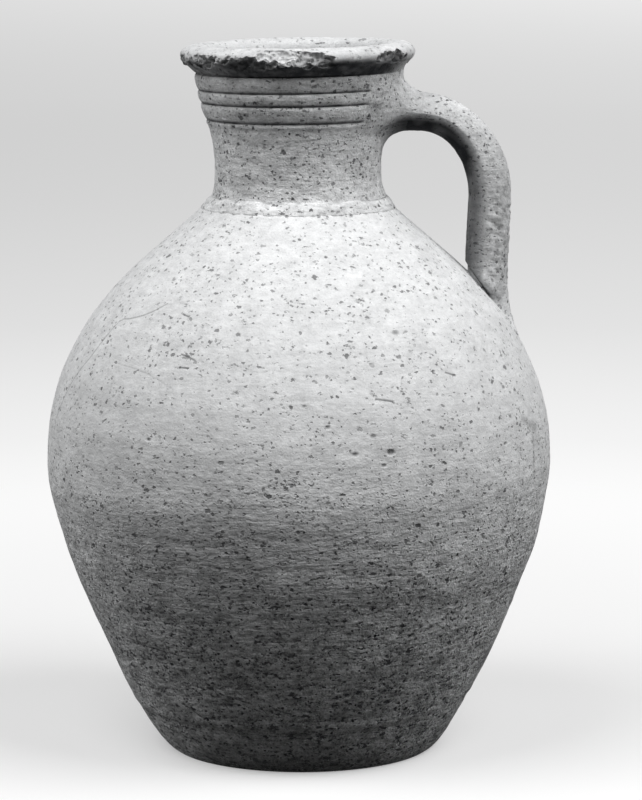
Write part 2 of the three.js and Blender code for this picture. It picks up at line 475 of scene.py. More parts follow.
# Spots where the clay is darker or paler: azimuth in degrees, then height, width and tallness in
# millimetres, and how much darker the clay is there, or paler where the number is less than 0. The
# two pale spots low on the left and right edges are painted light on the lower body's edges.
tone_spots_and_painted_light = [
    (-16, 131, 30, 10, 0.10),
    (-36, 119, 30, 8, 0.09),
    (4, 120, 34, 8, 0.13),
    (-48, 160, 22, 9, 0.05),
    (-32, 96, 26, 9, -0.14),
    (33, 53, 22, 14, 0.2),
    (8, 4, 30, 9, 0.25),
    (-62, 40, 16, 16, -0.2),
    (60, 35, 14, 14, -0.2),
]
# Throwing rings that stand out: round the foot, and on the left and the right of the belly
low_ring_height = 25.5 * mm
left_ring_height = 115.5 * mm
right_ring_height = 69 * mm


def part_way(first, second, share):
    """The pair of numbers that lies a share of the way from the first pair to the second."""
    return tuple(start + (end - start) * share for start, end in zip(first, second))


def along(points):
    """Points on the body's outside about 2 mm apart along a path of (azimuth, height), which is
    rounded off where it bends."""
    rounded = [points[0]]
    for first, second in zip(points, points[1:]):
        rounded += [part_way(first, second, 0.25), part_way(first, second, 0.75)]
    rounded.append(points[-1])
    made = []
    for first, second in zip(rounded, rounded[1:]):
        steps = max(1, round((on_body(*second) - on_body(*first)).length / (2 * mm)))
        made += [on_body(*part_way(first, second, step / steps)) for step in range(steps)]
    return made + [on_body(*points[-1])]


def line_distance(point, path):
    """Distance from a point to the nearest stretch of a path."""
    nearest = 1.0
    for first, second in zip(path, path[1:]):
        stretch = second - first
        share = (point - first).dot(stretch) / stretch.length_squared
        share = min(max(share, 0), 1)
        nearest = min(nearest, (point - first - stretch * share).length)
    return nearest


def lean(height):
    """How far the thrown axis wanders towards the handle at one height."""
    low = 0.9 * mm * (1 - ease(height, 105 * mm, 130 * mm))
    foot = 0.5 * mm * (1 - ease(height, 4 * mm, 20 * mm))
    heel_side = 0.65 * mm * hump(height, 52 * mm, 18 * mm) - 0.35 * mm * hump(height, 86 * mm, 9 * mm)
    neck_side = 0.35 * mm * ease(height, 150 * mm, 266 * mm)
    return low + foot + heel_side - neck_side


def ring_relief(x, y, z, azimuth):
    """How far the throwing rings stand out: one round the foot, with a hollow below it, and a
    fine one on each side of the belly."""
    low_ring = low_ring_height + 4 * mm * ease(azimuth, 20, 60) + 1.2 * mm * rough(x, y, 0, 30 * mm)
    left_ring = left_ring_height + 1.5 * mm * rough(x, y, 3, 40 * mm)
    right_ring = right_ring_height + 4 * mm * ease(azimuth, 25, 45)
    relief = 0.3 * mm * hump(z, low_ring, 1.6 * mm)
    relief -= 0.25 * mm * hump(z, low_ring - 3.6 * mm, 2.2 * mm)
    relief += 0.14 * mm * hump(z, left_ring, 1.2 * mm) * ease(-azimuth, -5, 10)
    relief += 0.14 * mm * hump(z, right_ring, 1.0 * mm) * ease(azimuth, 15, 30)
    return relief


def soft_spots(spots, azimuth, radius, z):
    """What soft spots, such as dents or spots of darker and paler clay, add up to at a place on the wall.
    """
    total = 0.0
    for turn, height, across, tall, amount in spots:
        sideways = math.radians((azimuth - turn + 180) % 360 - 180) * radius
        total += amount * hump(sideways, 0, across * mm) * hump(z, height * mm, tall * mm)
    return total


body_shape = turned(body_outline, body_turns)
flaw_paths = [(along(points), width * mm, depth * mm, dark) for points, width, depth, dark in lines]
pit_points = [(on_body(turn, height), width * mm, depth * mm) for turn, height, width, depth in pits]
flaw_points = [point for path, _, _, _ in flaw_paths for point in path]
flaw_points += [point for point, _, _ in pit_points]
is_near_flaw = nearby(flaw_points, 3 * mm)
for reach in (2.4 * mm, 1.5 * mm):
    refine(body_shape, nearby(flaw_points, reach))
set_on(body_shape, body_line)

marks_and_painted_shading = body_shape.verts.layers.float.new("marks_and_painted_shading")
for vert in body_shape.verts:
    x, y, z = vert.co
    radius = math.hypot(x, y)
    if radius < 0.1 * mm:
        continue
    azimuth = azimuth_at(x, y)
    outside = radius > line_radius(body_line, z) - 2 * mm and z < body_height - 0.1 * mm
    ring = 0.16 * rough(0, x / 8, z, 5 * mm) + 0.3 * rough(7, x / 12 + y / 12, z, 17 * mm)
    push = (ring + 0.5 * rough(x, y, z, 60 * mm)) * mm
    if outside and z > foot_edge:
        push += ring_relief(x, y, z, azimuth) - soft_spots(dents, azimuth, radius, z) * mm
    # What lies within the foot's radius stays even: the foot's underside and the upper shoulder
    keep = min(1.0, z / (6 * mm)) if radius > foot_radius - 1 * mm else 0.0
    scale = (radius + push * keep) / radius
    vert.co.x = x * scale + lean(z)
    vert.co.y = y * scale
    dark = soft_spots(tone_spots_and_painted_light, azimuth, radius, z)
    here = Vector((x, y, z))
    if outside and is_near_flaw(here):
        inward = Vector((-x, -y, 0)) / radius
        for path, width, depth, darkness in flaw_paths:
            share = max(0.0, 1 - (line_distance(here, path) / width) ** 2)
            vert.co += inward * depth * share
            dark = max(dark, darkness * share)
        for point, width, depth in pit_points:
            step = here - point
            away = Vector((step.x, step.y, step.z * pit_squeeze)).length
            share = max(0.0, 1 - (away / (width / 2)) ** 2)
            vert.co += inward * depth * share
            dark = max(dark, pit_darkening * share)
    vert[marks_and_painted_shading] = dark


def finished(name, shape, material):
    """The piece as an object, smooth all over, with its material."""
    mesh = bpy.data.meshes.new(name)
    shape.to_mesh(mesh)
    shape.free()
    mesh.polygons.foreach_set("use_smooth", [True] * len(mesh.polygons))
    mesh.materials.append(material)
    made = bpy.data.objects.new(name, mesh)
    bpy.context.collection.objects.link(made)
    return made


def clay(name, shade, worn, worn_above=None, between=(0, 1), painted_foot_shade=0.0):
    """Unglazed clay: pale, with dark grit, pits and cloudy patches. The more worn it is, the
    rougher and darker is its skin. The wear can change between two heights, and painted shade
    then darkens the clay towards the foot, where the wall faces down."""
    material, start = material_start(name)
    place = start.node("ShaderNodeTexCoord", output="Object")
    if worn_above is not None:
        height = place.node("ShaderNodeSeparateXYZ", None, {0: place}, "Z")
        worn = worn + (worn_above - worn) * height.rise(*between)
        # Painted shade: darker below 160 mm, and darkest under 40 mm
        painted_foot_shade = painted_foot_shade * (1 - height.rise(40 * mm, 160 * mm))

    def mapped(scale, shift):
        """The place on the piece, counted in lumps or cells and moved aside."""
        return place.node("ShaderNodeMapping", None, {"Vector": place, "Scale": scale, "Location": shift})

    def cloud(size, detail=2.0, level=1.0, shift=0.0):
        """Noise from about -0.3 to 0.3, with lumps one size high and level times as long."""
        moved = mapped((1 / size / level, 1 / size / level, 1 / size), (shift, 0, shift))
        lumpy = {"Vector": moved, "Scale": 1.0, "Detail": detail}
        return place.node("ShaderNodeTexNoise", None, lumpy) - 0.5

    crowd = cloud(20 * mm, 2.0, 1.2, 3.0) + cloud(6 * mm, 1.0, 2.2, 6.0)

    def specks(size, level, rarity, softness, shift):
        """Spots of every shape where a cloud is thickest, from 0 to 1."""
        thickness = cloud(size, 2.0, level, shift) + crowd * 0.12 + worn * 0.08
        return ((thickness - rarity) / softness).clamped()

    def grains(cell, smallest, largest, share, edge, shift):
        """Ragged grains of random size and darkness, one at most in each cell, all in metres."""
        wobble = cloud(1.3 * mm, 1.0, 1.0, shift) * (3.0 * mm)
        moved = mapped((1 / cell, 1 / cell, 1.25 / cell), (shift, shift, 0))
        away = place.node("ShaderNodeTexVoronoi", None, {"Vector": moved, "Scale": 1.0}, "Distance")
        random_parts = place.node("ShaderNodeSeparateColor", None, {0: away.sibling("Color")}, 0)
        size = smallest + (largest - smallest) * random_parts
        there = random_parts.sibling(1) < share + crowd * 0.6
        depth = (((size + wobble) * there / cell - away) / (edge / cell)).clamped()
        return depth * (random_parts.sibling(2) * 0.6 + 0.4)

    dust = specks(1.0 * mm, 1.2, 0.2, 0.08, 1.3)
    blots = specks(2.1 * mm, 2.0, 0.205, 0.05, 8.3)
    pepper = grains(1.9 * mm, 0.28 * mm, 0.68 * mm, 0.12 + worn * 0.4, 0.28 * mm, 1.7)
    sand = grains(3.2 * mm, 0.5 * mm, 1.15 * mm, 0.34 + worn * 0.66, 0.4 * mm, 4.6)
    stones = grains(7.0 * mm, 0.9 * mm, 1.8 * mm, 0.2 + worn * 0.74, 0.6 * mm, 8.8)
    flecks = specks(1.4 * mm, 1.9, 0.19, 0.07, 21.7)
    grain = cloud(0.9 * mm, 2.0)
    mottle = cloud(2.4 * mm, 3.0, 1.6, 7.0)
    lumps = cloud(6.5 * mm, 3.0, 1.8, 15.0)
    streaks = cloud(1.4 * mm, 3.0, 9.0)
    stains = cloud(11 * mm, 4.0, 1.4, 1.0)
    patches = cloud(55 * mm, 3.0, 1.0, 2.0)
    # Darkening set on each piece's points: real cracks, stains and grit, painted shade in grooves,
    # creases and under overhangs, and painted light where it is below 0
    marks_and_painted_shading_amount = place.node("ShaderNodeAttribute", {"attribute_name": "marks_and_painted_shading"}, None, "Fac")

    grit = dust * 0.45
    for layer, strength in ((blots, 0.65), (pepper, 0.72), (sand, 0.76), (stones, 0.8)):
        grit = grit.larger(layer * strength)
    grit = (grit * (0.85 + worn * 0.6)).clamped()
    light = 1 + patches * 0.14 + stains * (0.2 + worn * 0.8) + lumps * (0.06 + worn * 0.95)
    light = light + mottle * (0.26 + worn * 1.1) + grain * (0.2 + worn * 1.0) + streaks * worn * 1.1
    light = light + flecks * (0.04 + worn * 0.45) - painted_foot_shade
    light = light * (1 - grit) * (1 - marks_and_painted_shading_amount)
    black = (0.012, 0.013, 0.015, 1)
    white = (0.985, 0.993, 1.0, 1)
    mixed = {0: (light * shade).clamped(), 6: black, 7: white}
    colour = place.node("ShaderNodeMix", {"data_type": "RGBA"}, mixed, 2)
    relief = (grain * 0.3 + mottle * 0.55 + lumps * 0.7) * (0.22 + worn * 1.6)
    relief = relief + streaks * worn * 0.5 - grit * (0.25 + worn * 0.4) + flecks * worn * 0.2
    bump = place.node("ShaderNodeBump", None, {"Height": relief, "Distance": 1.0 * mm, "Strength": 1.0})
    finish = {
        "Base Color": colour,
        "Roughness": 0.93 - grit * 0.1,
        "Normal": bump,
        "Specular IOR Level": 0.2,
    }
    surface = place.node("ShaderNodeBsdfPrincipled", None, finish)
    start.node("ShaderNodeOutputMaterial", None, {"Surface": surface})
    return material


worn_zone = (45 * mm, 190 * mm)
body_clay = clay("body_clay", shade=0.74, worn=1.0, worn_above=0.15, between=worn_zone, painted_foot_shade=0.27)
body = finished("jug_body", body_shape, body_clay)
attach(body, "root")
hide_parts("body")


# Neck: thrown apart from the body and stood on it, with a waist, three bands cut by sharp
# grooves, and a broad lip that turns out. The lip's front is chipped where it was knocked.
neck_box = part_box("neck")
neck_base = neck_box[0].z
neck_top = neck_box[1].z
lip_radius = neck_box[1].x - 0.3 * mm
waist_radius = 40.4 * mm
base_radius = 44.5 * mm
waist_start = neck_base + 11 * mm
waist_end = neck_base + 22 * mm
bore_radius = 33.5 * mm
crest_height = neck_top - 1.1 * mm
crest_middle = 49.5 * mm
mouth_radius = 41.6 * mm
mouth_height = crest_height - 6.5 * mm
lip_base = neck_top - 14.5 * mm
ledge_height = 2.6 * mm
ledge_radius = waist_radius + 3.2 * mm
groove_depth = 1.5 * mm
band_bulge = 0.55 * mm
# Bands from the ledge up: height, and radius at the lower and the upper edge, in millimetres
bands = [(8.4, 45.4, 47.4), (6.2, 47.8, 48.6), (8.4, 49.2, 50.1)]
bands_base = lip_base - sum(height for height, _, _ in bands) * mm
ledge_base = bands_base - ledge_height
neck_turns = 400

neck_line = [Vector((base_radius, neck_base))]
base_bend = Vector((waist_radius + 0.9 * mm, neck_base + 4 * mm))
waist_bend = Vector((waist_radius, neck_base + 6 * mm))
waist_low = Vector((waist_radius, waist_start))
waist_high = Vector((waist_radius, waist_end))
flare_bend = Vector((waist_radius + 0.9 * mm, ledge_base - 8 * mm))
ledge_low = Vector((ledge_radius, ledge_base))
neck_line += bezier((neck_line[0], base_bend, waist_bend, waist_low), 10)
neck_line += bezier((waist_low, waist_low, waist_high, waist_high), 12)
neck_line += bezier((waist_high, flare_bend, flare_bend, ledge_low), 16)
groove = Vector((bands[0][1] * mm - groove_depth, bands_base))
ledge_nose = Vector((ledge_radius + 0.9 * mm, ledge_base + 0.9 * mm))
ledge_brow = Vector((ledge_radius + 1.1 * mm, ledge_base + 2.1 * mm))
neck_line += bezier((ledge_low, ledge_nose, ledge_brow, groove), 8)
# Height of each groove, and how tall the painted shade in it is
grooves = [(groove.y, 1.0 * mm)]
for index, (height, lower_edge, upper_edge) in enumerate(bands):
    top = groove.y + height * mm
    grooves.append((top, 0.8 * mm))
    if index + 1 < len(bands):
        next_groove = Vector((bands[index + 1][1] * mm - groove_depth, top))
    else:
        next_groove = Vector((upper_edge * mm - 1.3 * mm, top))
    low_bend = Vector((lower_edge * mm + band_bulge, groove.y + 0.26 * height * mm))
    high_bend = Vector((upper_edge * mm + band_bulge, groove.y + 0.94 * height * mm))
    neck_line += bezier((groove, low_bend, high_bend, next_groove), 18)
    groove = next_groove
lip_under = Vector((waist_radius + 14.4 * mm, lip_base + 4.8 * mm))
crest = Vector((crest_middle, crest_height))
edge_pull = (8 * (lip_radius - 0.6 * mm) - lip_under.x - crest.x) / 6
edge_low = Vector((edge_pull, crest_height - 6.2 * mm))
edge_high = Vector((edge_pull, crest_height - 0.9 * mm))
lip_root = Vector((groove.x + 2.0 * mm, groove.y + 0.7 * mm))
neck_line += bezier((groove, lip_root, groove.lerp(lip_under, 0.6), lip_under), 12)
neck_line += bezier((lip_under, edge_low, edge_high, crest), 28)
crest_bend = Vector((crest_middle - 5.2 * mm, crest_height))
mouth_brow = Vector((mouth_radius, crest_height - 1.6 * mm))
mouth = Vector((mouth_radius, mouth_height))
mouth_bend = Vector((mouth_radius, crest_height - 26 * mm))
bore_bend = Vector((bore_radius, waist_end + 14.5 * mm))
bore_top = Vector((bore_radius, waist_end))
neck_line += bezier((crest, crest_bend, mouth_brow, mouth), 14)
neck_line += bezier((mouth, mouth_bend, bore_bend, bore_top), 20)
neck_line += [Vector((bore_radius, waist_start)), Vector((throat_radius, neck_base)), neck_line[0].copy()]

# Outline of the wet clay that was wiped round the handle's end, up to which the grooves are filled
smear_line = [
    Vector((waist_radius, neck_base)),
    Vector((waist_radius + 0.3 * mm, ledge_base - 6 * mm)),
    Vector((44.6 * mm, bands_base + 1 * mm)),
    Vector((47.6 * mm, bands_base + 9 * mm)),
    Vector((50.1 * mm, lip_base)),
    Vector((54.2 * mm, lip_base + 4.8 * mm)),
    Vector((60.0 * mm, neck_top)),
]
# How far that clay reaches round the neck to each side of the handle, in degrees
smear_reach = 46
# How much the lip rises towards the handle for each metre across
neck_tilt = 0.0175
# Large breaks in the lip. Each is the hollow that a ball leaves: azimuth in degrees, then
# the ball's height, radius and distance from the axis in millimetres.
breaks = [
    (-31, 334.5, 8.5, 61.4),
    (-25, 334.0, 9.5, 61.8),
    (-19, 335.0, 8.0, 60.8),
    (-14, 347.5, 10.5, 62.2),
    (-8, 346.5, 11.0, 62.8),
    (-3, 347.5, 9.5, 61.4),
    (3, 342.0, 8.5, 61.8),
    (9, 340.5, 8.0, 61.8),
    (14, 338.0, 7.0, 61.2),
    (51, 339.0, 7.0, 61.2),
    (58, 337.0, 8.0, 61.4),
    (64, 336.0, 6.0, 60.2),
    (-48, 333.5, 8.0, 61.0),
    (-66, 334.0, 8.0, 61.4),
    (-82, 337.0, 5.0, 60.0),
]
# Small nicks, most of them on the left half of the lip's front
nick_count = 46
chance = random.Random(7)
for index in range(nick_count):
    turn = chance.uniform(-95, 14) if index % 4 else chance.uniform(-180, 180)
    ball = chance.uniform(2.0, 5.0)
    bite = chance.uniform(0.2, 0.7)
    height = crest_height / mm - 4.4 + chance.uniform(-4.5, 0.6)
    edge = lip_radius / mm - 0.4 - 0.75 * abs(height - crest_height / mm + 4.2)
    breaks.append((turn, height, ball, edge + ball - bite))
balls = []
for turn, height, ball, away in breaks:
    turn = math.radians(turn)
    balls.append((Vector((away * math.sin(turn), -away * math.cos(turn), height)) * mm, ball * mm))


def smear_radius(x, y, z):
    """Radius of the wiped clay on the neck at a place."""
    return line_radius(smear_line, z) + 0.3 * mm * rough(x * 1.5, y, z, 6 * mm)


def tilted(place):
    """A point of the neck after the neck's top was pushed a little to one side."""
    share = ease(place.z, neck_base + 20 * mm, neck_top - 15 * mm)
    return Vector((place.x + lean(place.z), place.y, place.z + neck_tilt * place.x * share))


def ragged_shift(place):
    """A wander of a place in coarse and fine waves, which makes the edge of a break ragged."""
    x, y, z = place
    coarse = Vector((rough(z, x, y, 3.1 * mm), 0, rough(x, y, z, 3.4 * mm)))
    fine = Vector((rough(y, z, x, 1.5 * mm), 0, rough(z, y, x, 1.3 * mm)))
    return (coarse + 0.6 * fine) * (1.9 * mm)


def chipped(place):
    """A point of the lip after all the breaks, and how rough its broken clay is, from 0 to 1."""
    start_place = place.copy()
    for centre, ball in balls:
        away = place - centre
        if away.length > ball + 4 * mm:
            continue
        away -= ragged_shift(place)
        if away.length < ball:
            cut = place + away * (ball / away.length - 1)
            if cut.xy.length < place.xy.length:
                place = cut
    raw = ease((place - start_place).length, 0, 1.3 * mm)
    if raw > 0:
        x, y, z = place
        lump = 0.9 * rough(x, y, z, 3.4 * mm) + 0.7 * rough(x, y, z, 1.7 * mm) - 0.2
        outward = Vector((x, y, 0)).normalized() + Vector((0, 0, 0.4))
        place = place + outward * (lump * raw * mm)
    return place, raw


def neck_flare(x, z):
    """How far the neck's foot turns out, more towards the handle than away from it."""
    side = 0.4 + 0.6 * ease(x, -10 * mm, 35 * mm)
    below = 1 - ease(z, neck_base + 3 * mm, neck_base + 16 * mm)
    above = ease(z, neck_base, neck_base + 4 * mm)
    return 1.8 * mm * side * below * above


def is_lip_front(place):
    """Whether a place is on the lip's outside where it is broken, which needs finer faces."""
    azimuth = azimuth_at(place.x, place.y)
    outer = math.hypot(place.x, place.y) > crest_middle
    return outer and place.z > lip_base + 3 * mm and (-70 < azimuth < 22 or 46 < azimuth < 72)


neck_shape = turned(neck_line, neck_turns)
refine(neck_shape, is_lip_front)
marks_and_painted_shading = neck_shape.verts.layers.float.new("marks_and_painted_shading")
for vert in neck_shape.verts:
    x, y, z = vert.co
    radius = math.hypot(x, y)
    azimuth = azimuth_at(x, y)
    smear_edge = line_radius(smear_line, z)
    outside = radius > 38 * mm and (z < ledge_base or radius > smear_edge - 3 * mm)
    push = 0.12 * mm * rough(0, x / 6, z, 4 * mm) + 0.25 * mm * rough(x, y, z, 35 * mm)
    if z > lip_base:
        push += 0.35 * mm * rough(x, y, z, 9 * mm)
    else:
        push += 0.12 * mm * rough(x, y, z * 1.5, 6 * mm)
    if outside:
        push += neck_flare(x, z)
    dark = 0.0
    if outside and ledge_base - 10 * mm < z < lip_base + 4.9 * mm:
        from_handle = abs(azimuth - 90) + 3 * rough(x, y, z, 5 * mm)
        smeared = 1 - ease(from_handle, smear_reach - 4, smear_reach + 2)
        smeared *= ease(z, ledge_base - 10 * mm, ledge_base - 2 * mm)
        push += (smear_radius(x, y, z) - radius - push) * smeared
        # Painted shade in the grooves, and a little over the bands, which lie under the lip
        cut = max(hump(z, height + 0.4 * mm, tall) for height, tall in grooves)
        cut *= 0.84 + 0.25 * rough(x, y, z, 5 * mm)
        band_painted_shade = 0.1 * ease(z, ledge_base, bands_base + 3 * mm)
        dark = max(cut, band_painted_shade) * (1 - smeared) * (1.0 if z > ledge_base + 1 * mm else 0.0)
    # Painted shade on the neck beside the handle's upper end
    if outside and z < lip_base:
        dark = max(dark, 0.26 * ease(azimuth, 30, 70) * hump(z, ledge_base, 15 * mm))
    place = Vector((x * (radius + push) / radius, y * (radius + push) / radius, z))
    raw = 0.0
    if z > lip_base + 1 * mm and radius > crest_middle - 1 * mm:
        place, raw = chipped(place)
    if z > mouth_height and radius > mouth_radius:
        place.z += 0.4 * mm * rough(x, y, 2, 8 * mm)
    # Painted shade under the lip and in its deeper breaks. The large break in front gets less of it.
    if z > lip_base - 0.5 * mm and radius > smear_edge - 2.2 * mm:
        under = (1 - ease(z, lip_base + 5.5 * mm, lip_base + 9.5 * mm)) * (1 - ease(azimuth, 55, 85))
        left = ease(-azimuth, 30, 50)
        dark = max(dark, under * (0.93 - 0.27 * left + 0.16 * rough(x, y, z, 4 * mm)))
        bright = hump(azimuth, -8, 10)
        dark = dark * (1 - 0.85 * bright * raw)
        deep = ease(raw, 0.3, 1.0) * ease(crest_height - z, 2.5 * mm, 6 * mm)
        break_shade = 0.36 + 0.3 * ease(azimuth, 40, 55) + 0.6 * rough(x, y, z, 2.4 * mm)
        dark = max(dark, deep * break_shade * (1 - bright))
    vert[marks_and_painted_shading] = dark
    vert.co = tilted(place)

# The neck's clay is set darker than the body's, partly as painted shade from the lip above
lip_zone = (neck_top - 13 * mm, neck_top - 6 * mm)
neck_clay = clay("neck_clay", shade=0.64, worn=0.5, worn_above=0.2, between=lip_zone)
neck = finished("jug_neck", neck_shape, neck_clay)
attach(neck, "root")
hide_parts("neck")


# Collar: a roll of soft clay pressed by hand into the corner between the shoulder and the
# neck, so that the two stick. Its lower edge stands a little proud and is uneven.
collar_turns = 360
collar_top = Vector((waist_radius + 1.3 * mm, neck_base + 5.4 * mm))
collar_back = Vector((waist_radius - 1 * mm, neck_base + 5.0 * mm))
collar_brow = Vector((43.2 * mm, neck_base + 4.2 * mm))
collar_bulge = Vector((45.4 * mm, neck_base + 2.4 * mm))
collar_nose = Vector((47.1 * mm, neck_base - 0.4 * mm))
collar_foot = Vector((47.0 * mm, neck_base - 1.3 * mm))
collar_line = [collar_back]
collar_line += bezier((collar_back, collar_back, collar_top, collar_top), 3)
collar_line += bezier((collar_top, collar_brow, collar_bulge, collar_nose), 18)
collar_line += bezier((collar_nose, collar_nose, collar_foot, collar_foot), 4)
collar_line += [Vector((43 * mm, neck_base - 1.5 * mm)), collar_back.copy()]
collar_shape = turned(collar_line, collar_turns)
marks_and_painted_shading = collar_shape.verts.layers.float.new("marks_and_painted_shading")
for vert in collar_shape.verts:
    x, y, z = vert.co
    radius = math.hypot(x, y)
    azimuth = azimuth_at(x, y)
    low = 1 - ease(z, neck_base, neck_base + 4 * mm)
    ragged = 0.7 * rough(x, y, 4, 4 * mm) + 0.6 * rough(x, y, 8, 1.9 * mm)
    push = 0.25 * mm * rough(x, y, z, 9 * mm) + 0.5 * mm * low * ragged + 0.55 * neck_flare(x, z)
    push += 0.35 * mm * rough(x, y, z, 2.6 * mm) + 0.15 * mm * rough(x, y, z, 1.3 * mm)
    gap = ease(-x, 25 * mm, 40 * mm) * (1 - low) * 0.4 * mm
    scale = (radius + push - gap) / radius
    vert.co.x = x * scale + lean(z)
    vert.co.y = y * scale
    vert.co.z = z + 0.5 * mm * rough(x, y, 9, 12 * mm) * (1 - low) + 0.3 * mm * low * ragged
    # Darker along the roll's top edge, partly a crack and partly painted shade in the crease, and painted
    # shade under its lower edge
    seam = ease(z, neck_base + 4.4 * mm, neck_base + 5.2 * mm)
    seam *= ease(rough(x, y, 6, 7 * mm), -0.1, 0.3) + ease(azimuth, 40, 50) * (1 - ease(azimuth, 80, 95))
    foot = 1 - ease(z, neck_base - 0.4 * mm, neck_base + 0.4 * mm)
    foot *= ease(rough(x, y, 3, 5 * mm), -0.2, 0.3)
    vert[marks_and_painted_shading] = min(0.6, 0.5 * seam + 0.25 * foot)

collar = finished("jug_collar", collar_shape, clay("collar_clay", shade=0.72, worn=0.35))
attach(collar, "root")
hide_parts("neck_collar")


# Handle: a strap pulled from soft clay, bent over and pressed on under the lip and on the
# shoulder. Its section is a flattened round, with a soft ridge along each side of the arch.
handle_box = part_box("handle")
handle_half_width = handle_box[1].y - 0.4 * mm
grip_x = 92.8 * mm
grip_thickness = 20.8 * mm
arch_thickness = 18.7 * mm
arch_height = neck_top - 34.1 * mm
arch_start = Vector((57.0 * mm, arch_height))
arch_bend = Vector((80.1 * mm, arch_height))
grip_bend = Vector((grip_x, arch_height - 20.7 * mm))
grip_top = Vector((grip_x, arch_height - 40.7 * mm))
grip_foot = Vector((grip_x - 2.3 * mm, 214 * mm))
# Over 1, these pinch the round section into a soft ridge along each side of the strap
arch_ridge = 1.5
grip_ridge = 1.2
grip_ridge_shift = 0.2
handle_sides = 96
handle_rows = 300
handle_root = Vector((42 * mm, arch_height))
handle_line = [handle_root]
handle_line += bezier((handle_root, handle_root, arch_start, arch_start), 30)
handle_line += bezier((arch_start, arch_bend, grip_bend, grip_top), 120)
handle_line += bezier((grip_top, grip_top, grip_foot, grip_foot), 80)


def shoulder_height(radius):
    """Height of the body's shoulder at one radius."""
    low, high = belly_height, body_height
    for _ in range(24):
        middle = (low + high) / 2
        if line_radius(body_line, middle) > radius:
            low = middle
        else:
            high = middle
    return (low + high) / 2


def rolled(rows, turns, place):
    """A grid rolled up and closed. place gives a point and its darkening, from how far along the rows
    and how far round it is, both from 0 to 1."""
    shape = bmesh.new()
    bmesh.ops.create_grid(shape, x_segments=rows, y_segments=turns, size=0.5)
    layer = shape.verts.layers.float.new("marks_and_painted_shading")
    for vert in shape.verts:
        turn_share = (vert.co.y + 0.5) % 1.0 if vert.co.y < 0.4999 else 0.0
        vert.co, vert[layer] = place(vert.co.x + 0.5, turn_share)
    bmesh.ops.remove_doubles(shape, verts=shape.verts, dist=0.001 * mm)
    bmesh.ops.recalc_face_normals(shape, faces=shape.faces)
    return shape


def strap_section(turn, thickness, travel):
    """Offsets out of the bend and to the back, for the arch at a travel of 0 and the grip at 1.
    A turn of 0 points out of the bend."""
    power = arch_ridge + (grip_ridge - arch_ridge) * travel
    shift = grip_ridge_shift * travel
    out = math.cos(turn)
    out = math.copysign(abs(out) ** power, out)
    out = out * (1 + math.copysign(shift, out)) - shift
    return thickness / 2 * out, handle_half_width * math.sin(turn)


def strap_relief(point):
    """How far the strap's skin stands out at a point, after the potter's fingers."""
    x, y, z = point
    relief = 0.3 * rough(x, y, z, 16 * mm) + 0.12 * rough(x * 3, y, z / 4, 5 * mm)
    crust = ease(x, 88 * mm, 96 * mm) * (1 - ease(z, 262 * mm, 280 * mm))
    relief += (0.1 + crust * 0.55) * rough(x, y, z, 3.0 * mm)
    relief += crust * 0.3 * rough(z, x, y, 1.5 * mm)
    return relief * mm


def handle_point(share, turn_share):
    """A point of the strap's skin and its darkening: painted shade on the inner side and in the
    crease, and scars. Both ends are drawn together, out of sight.
    """
    last = len(handle_line) - 1
    index = min(int(share * last), last - 1)
    here = handle_line[index].lerp(handle_line[index + 1], share * last - index)
    before = handle_line[max(index - 1, 0)]
    after = handle_line[min(index + 2, last)]
    forward = (after - before).normalized()
    outward = Vector((-forward.y, forward.x))
    travel = ease(share, 0.25, 0.6)
    thickness = arch_thickness + (grip_thickness - arch_thickness) * travel
    cap = math.sqrt(min(1.0, share * 30, (1 - share) * 60))
    turn = turn_share * math.tau
    out, side = strap_section(turn, thickness, travel)
    inner = ease(-out / thickness, -0.1 * travel, 0.22 + 0.2 * travel)
    point = Vector((here.x + outward.x * out, side, here.y + outward.y * out))
    x, y, z = point
    grow = 1 + strap_relief(point) / (thickness / 2)
    above = z - shoulder_height(min(math.hypot(x, y), belly_radius))
    # Painted shade on the strap's inner side and under the arch
    dark = inner * (0.97 - 0.24 * ease(share, 0.42, 0.62)) * (1 + 0.2 * rough(x, y, z, 7 * mm))
    scarred = ease(x, 88 * mm, 95 * mm) * (1 - ease(z, 285 * mm, 300 * mm))
    dark = max(dark, scarred * (0.1 + 0.5 * rough(x, y * 2, z, 2.2 * mm)))
    # Near the shoulder: painted shade in the crease on the inner side, a paler wiped ridge over it,
    # and paler clay low on the outer side
    if z < 250 * mm:
        outer = math.cos(turn)
        tail = ease(outer, 0.72, 0.98)
        crease = (1 - ease(above, 1.0 * mm, 4.2 * mm)) * (1 - tail) * (1 - 0.95 * ease(outer, 0.2, 0.75))
        ridge_height = 6.5 * mm + 1.5 * mm * rough(x, y, z, 6 * mm)
        wiped = hump(above, ridge_height, 2.4 * mm) * (1 - tail) * ease(outer, -0.4, 0.4)
        paler_outer_foot = (1 - ease(above, 9 * mm, 20 * mm)) * ease(outer, -0.2, 0.5)
        grow += 0.05 * wiped - 0.17 * crease
        dark = max(dark - 0.45 * paler_outer_foot - 0.15 * wiped, 0.92 * crease)
    out, side = out * grow * cap, side * grow * cap
    return Vector((here.x + outward.x * out, side, here.y + outward.y * out)), dark


handle_shape = rolled(handle_rows, handle_sides, handle_point)
# The handle's clay is set darker than the body's, partly as painted shade
handle = finished("jug_handle", handle_shape, clay("handle_clay", shade=0.6, worn=0.35))
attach(handle, "root")
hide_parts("handle")


# Upper luting: wet clay wiped from the handle's upper end onto the neck and up under the lip,
# where it fills the grooves. It is a flared ring round the strap.
luting_rows = 84
luting_sides = 144
skin = 1.2 * mm
reach_top = 60.5 * mm
reach_bottom = 56.0 * mm
spread_side = 25 * mm
spread_up = 21.6 * mm
spread_down = 22.5 * mm


def curve_point(first, bend, last, share):
    """A point of the quadratic curve through first and last, pulled towards bend."""
    rest = 1 - share
    return first * rest**2 + bend * (2 * share * rest) + last * share**2


